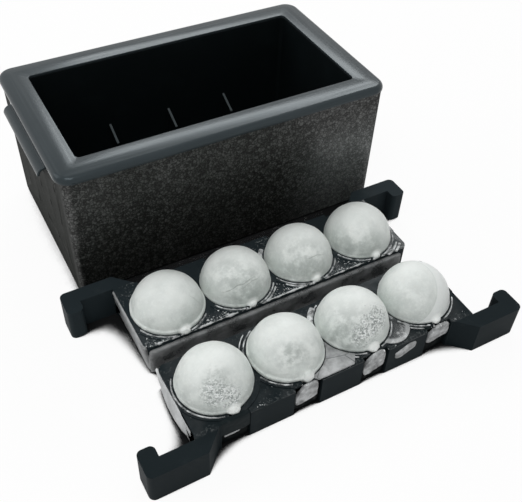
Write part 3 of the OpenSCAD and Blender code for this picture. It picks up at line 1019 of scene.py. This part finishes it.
def makeLump(name, row, place, size, jitter, seed, finish, breaks):
    centre = trayPlace(row) + Vector(value * mm for value in place)
    wide, deep, tall = [value * mm for value in size]
    piece = addCube(name, centre, (wide, deep, tall))
    cutUp(piece, lumpForm["cuts"], jitter * mm, seed)
    soften(piece, lumpForm["rounding"])
    if breaks:
        breakCorners(piece, centre, wide, tall, breaks)
    crumple(piece, lumpForm["rag"], lumpForm["ragSize"])
    smoothAll(piece)
    dress(piece, finishes[finish], f"{row}_tray", "ice")


# bar of grey ice frozen along the back tray's foot wall, with a round end
footIce = {
    "left": -125 * mm,
    "right": 119 * mm,
    "thick": 4.6 * mm,
    "bottom": 5 * mm,
    "top": 28.5 * mm,
    "sunk": 0.6 * mm,
    "round": 4.5 * mm,
    "roundSegments": 4,
    "voxel": 0.9 * mm,
    "rag": 1.0 * mm,
    "ragSize": 8 * mm,
    "ragDepth": 3,
    "relaxing": 2,
}


def makeFootIce():
    tray = trayPlace("back")
    left, right, thick, bottom, top = [footIce[key] for key in ("left", "right", "thick", "bottom", "top")]
    out = -footReach - thick / 2 + footIce["sunk"]
    centre = tray + Vector(((left + right) / 2, out, (bottom + top) / 2))
    piece = addCube("backFootIce", centre, (right - left, thick, top - bottom))
    roundAll(piece, footIce)
    remesh(piece, footIce["voxel"])
    crumple(piece, footIce["rag"], footIce["ragSize"], footIce["ragDepth"])
    relax(piece, footIce["relaxing"])
    smoothAll(piece)
    dress(piece, finishes["glazeIce"], "back_tray", "ice")


# broken line of frost along the back tray's front edge
edgeFrost = {
    "length": 232 * mm,
    "thick": 1.1 * mm,
    "inset": 0.5 * mm,
    "voxel": 0.4 * mm,
    "rag": 2.6 * mm,
    "ragSize": 6 * mm,
}


def makeEdgeFrost():
    tray = trayPlace("back")
    centre = tray + Vector((0, -footReach + edgeFrost["inset"], trayTop))
    piece = addCube("backEdgeFrost", centre, (edgeFrost["length"], edgeFrost["thick"], edgeFrost["thick"]))
    remesh(piece, edgeFrost["voxel"])
    crumple(piece, edgeFrost["rag"], edgeFrost["ragSize"])
    smoothAll(piece)
    dress(piece, finishes["frontFilmIce"], "back_tray", "ice")


# frost on a tray's left end wall, which leans in towards the ground; places and half sizes are in mm
filmForm = {
    "round": 1.2 * mm,
    "roundSegments": 3,
    "lensGrid": (64, 40),
    "ground": (80 * mm, 200 * mm, 20.6 * mm),  # what is cut away below
    "groundMiddle": -10 * mm,
    "voxel": 0.7 * mm,
    "rag": 0.5 * mm,
    "ragSize": 6 * mm,
    "relaxing": 2,
}
endFilms = {
    "backEndFilm": {"row": "back", "centre": (2.5, 16), "coat": (1.6, 34.5, 15), "finish": "backFilmIce"},
    "frontEndFilm": {"row": "front", "centre": (2, 14.5), "coat": (1.2, 32, 13.5), "lens": (4.4, 27, 12),
                     "finish": "frontFilmIce"},
}


# even coat of frost that leans with the wall
def addCoat(name, centre, halves):
    piece = addCube(name, centre, [2 * half for half in halves])
    editAll(piece)
    bpy.ops.transform.rotate(
        value=math.atan2(endDraft, trayTop), orient_axis="Y", orient_type="GLOBAL", center_override=centre)
    endEdit()
    roundAll(piece, filmForm)
    return piece


def makeEndFilm(name, film):
    tray = trayPlace(film["row"])
    middle = film["centre"][1] * mm
    wall = tray.x - trayHalf + endDraft * (1 - middle / trayTop)
    centre = Vector((wall, tray.y + film["centre"][0] * mm, middle))
    piece = addCoat(name, centre, [value * mm for value in film["coat"]])
    if "lens" in film:  # the frost is thickest in the middle
        lens = addBall("lens", centre, [value * mm for value in film["lens"]], filmForm["lensGrid"])
        carve(piece, lens, "UNION")
    carve(piece, addCube("ground", (wall, centre.y, filmForm["groundMiddle"]), filmForm["ground"]))
    remesh(piece, filmForm["voxel"])
    crumple(piece, filmForm["rag"], filmForm["ragSize"])
    relax(piece, filmForm["relaxing"])
    smoothAll(piece)
    dress(piece, finishes[film["finish"]], f"{film['row']}_tray", "ice")


# crumbs of ice, one crystal copied many times
gritForm = {
    "seed": 71,
    "small": 0.14 * mm,
    "large": 0.75 * mm,
    "fineness": 4,  # the higher, the fewer large crumbs
    "rag": 0.35,
    "stretch": (0.8, 1.8),
    "flatness": (0.6, 1),
    "onTrays": {"back": 420, "front": 110},
    "onFrontBalls": {1: 150, 3: 170},
}


def makeCrystal():
    deselectAll()
    bpy.ops.mesh.primitive_ico_sphere_add(subdivisions=1, radius=1)
    crystal = settle("crystal")
    editAll(crystal)
    bpy.ops.transform.vertex_random(offset=gritForm["rag"], uniform=1, seed=gritForm["seed"])
    endEdit()
    return crystal


def scatter(name, crystal, spots, draw, body):
    small, large = gritForm["small"], gritForm["large"]
    grit = []
    for spot in spots:
        size = draw.uniform(0, 1) ** gritForm["fineness"] * (large - small) + small
        aroundZ = Matrix.Rotation(draw.uniform(0, math.tau), 4, "Z")
        aroundX = Matrix.Rotation(draw.uniform(0, math.tau), 4, "X")
        turn = aroundZ @ aroundX
        wide = size * draw.uniform(*gritForm["stretch"])
        tall = size * draw.uniform(*gritForm["flatness"])
        shape = Matrix.Diagonal((wide, size, tall, 1))
        speck = bpy.data.objects.new("speck", crystal.data.copy())
        bpy.context.scene.collection.objects.link(speck)
        speck.data.transform(Matrix.Translation(spot) @ turn @ shape)
        grit.append(speck)
    piece = joined(name, grit)
    dress(piece, finishes["gritIce"], body, "ice")


# crumbs gather at the nubs, along the front edge of the parting face and a little round the cups; in mm
gritPlaces = {
    "nubUpTo": 0.4,  # a draw below this is a crumb at a nub
    "edgeUpTo": 0.75,  # below this, one along the edge
    "nub": ((2, 4.5), (-34, 1.2)),  # middle and spread, along the row and across it
    "edgeClumps": {"back": (-26, -17, 20, 30), "front": (22, 28, 32)},
    "clumpSpread": 5,
    "edgeDepth": 2.5,
    "cupAngles": (195, 345),
    "cupReach": 33.2,
    "cupSpread": 2.4,
    "sunk": 0.55,
    "offCups": 32.6,
    "offEnds": 1.5,
    "offEdge": 0.8,
    "patchSpread": 0.42,  # share of a rough patch's reach
    "offBall": 0.05,
}


def traySpots(row, amount, draw):
    tray = trayPlace(row)
    cups = [ballPlace(row, count) for count in counts]
    front = tray.y - frontEdge[row]
    spots = []
    while len(spots) < amount:
        cup = draw.choice(cups)
        kind = draw.random()
        if kind < gritPlaces["nubUpTo"]:
            along, across = [draw.gauss(*place) * mm for place in gritPlaces["nub"]]
            spot = cup + Vector((along, across, 0))
        elif kind < gritPlaces["edgeUpTo"]:
            gathered = draw.choice(gritPlaces["edgeClumps"][row]) + draw.gauss(0, gritPlaces["clumpSpread"])
            depth = draw.expovariate(1) * gritPlaces["edgeDepth"] * mm
            spot = Vector((cup.x + gathered * mm, front + depth, 0))
        else:
            turn = math.radians(draw.uniform(*gritPlaces["cupAngles"]))
            reach = gritPlaces["cupReach"] * mm + draw.expovariate(1) * gritPlaces["cupSpread"] * mm
            spot = cup + Vector((reach * math.cos(turn), reach * math.sin(turn), 0))
        spot.z = partingTop - gritPlaces["sunk"] * mm
        clear = min((spot.xy - other.xy).length for other in cups) > gritPlaces["offCups"] * mm
        betweenEnds = abs(spot.x - tray.x) < trayHalf - gritPlaces["offEnds"] * mm
        if clear and betweenEnds and spot.y > front + gritPlaces["offEdge"] * mm:
            spots.append(spot)
    return spots


def ballSpots(row, count, amount, draw):
    centre = ballPlace(row, count)
    spots = []
    patches = ballLooks[f"{row}_ball_{count}"]["rough"]
    while len(spots) < amount:
        place, reach = draw.choice(patches)
        spread = reach * gritPlaces["patchSpread"]
        aim = Vector(place) + Vector([draw.gauss(0, spread) for axis in range(3)])
        spots.append(centre + aim.normalized() * (ballRadius + gritPlaces["offBall"] * mm))
    return spots


for row in rows:
    makeCollars(row)
for name, sheet in sheets.items():
    makeSheet(name, sheet)
for name, lump in lumps.items():
    makeLump(name, *lump)
makeFootIce()
makeEdgeFrost()
for name, film in endFilms.items():
    makeEndFilm(name, film)
print("ice on the trays made")

draw = random.Random(gritForm["seed"])
crystal = makeCrystal()
for row, amount in gritForm["onTrays"].items():
    scatter(f"{row}Grit", crystal, traySpots(row, amount, draw), draw, f"{row}_tray")
for count, amount in gritForm["onFrontBalls"].items():
    spots = ballSpots("front", count, amount, draw)
    scatter(f"frontBallGrit{count}", crystal, spots, draw, f"front_ball_{count}")
bpy.data.objects.remove(crystal)
print("ice crumbs made")


# the rays that see the plain pale backdrop: the camera's own, and those off gloss or through ice
def rayKinds(tree):
    path = tree.nodes.new("ShaderNodeLightPath")
    camera, gloss, through = [Shade(tree, path.outputs[f"Is {kind} Ray"])
                              for kind in ("Camera", "Glossy", "Transmission")]
    return camera, gloss.highest(through) * (1 - camera)


def makeFloor():
    deselectAll()
    bpy.ops.mesh.primitive_plane_add(size=studio["floorSize"], location=(0, 0, -studio["floorDrop"]))
    floor = bpy.context.object
    floor.name = "paleFloor"
    f = Finish("paleFloor")
    openness = f.add("ShaderNodeAmbientOcclusion", {"samples": studio["gapSamples"]}, {
        "Distance": studio["gapReach"]}, "AO")
    clear = f.step(openness, studio["gapDark"], studio["gapLight"])
    mirrored = f.step(openness, studio["glossDark"], studio["glossLight"])
    camera, gloss = rayKinds(f.tree)
    # painted shade: the floor's colour darkens where ambient occlusion finds walls close
    colour = f.mix(clear, studio["gapShadeColour"], studio["floorColour"])
    lit = f.add("ShaderNodeBsdfDiffuse", {}, {"Color": colour})
    plain = f.add("ShaderNodeEmission", {}, {"Color": (1, 1, 1, 1), "Strength": 1})
    share = (camera * clear + gloss * mirrored) * (1 - studio["shadowShare"])
    both = f.add("ShaderNodeMixShader", {}, {0: share, 1: lit, 2: plain})
    f.add("ShaderNodeOutputMaterial", {}, {"Surface": both})
    floor.data.materials.append(f.material)


def makeWorld():
    world = bpy.data.worlds.new("studioSky")
    bpy.context.scene.world = world
    world.use_nodes = True
    tree = world.node_tree
    tree.nodes.clear()
    camera, gloss = rayKinds(tree)
    seen = camera + gloss
    sky = tree.nodes.new("ShaderNodeBackground")
    sky.inputs["Color"].default_value = (1, 1, 1, 1)
    plug(tree, sky.inputs["Strength"], seen * (1 - studio["ambient"]) + studio["ambient"])
    out = tree.nodes.new("ShaderNodeOutputWorld")
    tree.links.new(sky.outputs[0], out.inputs[0])


def addLamp(name, form):
    data = bpy.data.lights.new(name, "AREA")
    data.shape = "RECTANGLE"
    data.size, data.size_y = form["size"]
    data.energy = form["watts"]
    lamp = bpy.data.objects.new(name, data)
    bpy.context.scene.collection.objects.link(lamp)
    lamp.location = form["place"]
    aim = Vector(form["aim"]) - Vector(form["place"])
    lamp.rotation_euler = aim.to_track_quat("-Z", "Y").to_euler()


def makeCamera():
    data = bpy.data.cameras.new("photoCamera")
    data.sensor_fit = "HORIZONTAL"
    data.sensor_width = shot["sensor"]
    data.lens = shot["focalPixels"] * shot["sensor"] / shot["imageWidth"]
    data.clip_start = shot["clipStart"]
    camera = bpy.data.objects.new("photoCamera", data)
    bpy.context.scene.collection.objects.link(camera)
    turn = Matrix.Rotation(math.radians(shot["turn"]), 4, "Z")
    tilt = Matrix.Rotation(math.radians(shot["tilt"]), 4, "X")
    roll = Matrix.Rotation(math.radians(shot["roll"]), 4, "Z")
    camera.matrix_world = Matrix.Translation(shot["place"]) @ turn @ tilt @ roll
    bpy.context.scene.camera = camera


bpy.context.scene.view_settings.view_transform = "Standard"
makeFloor()
makeWorld()
for name, form in lamps.items():
    addLamp(name, form)
makeCamera()
print("studio made")
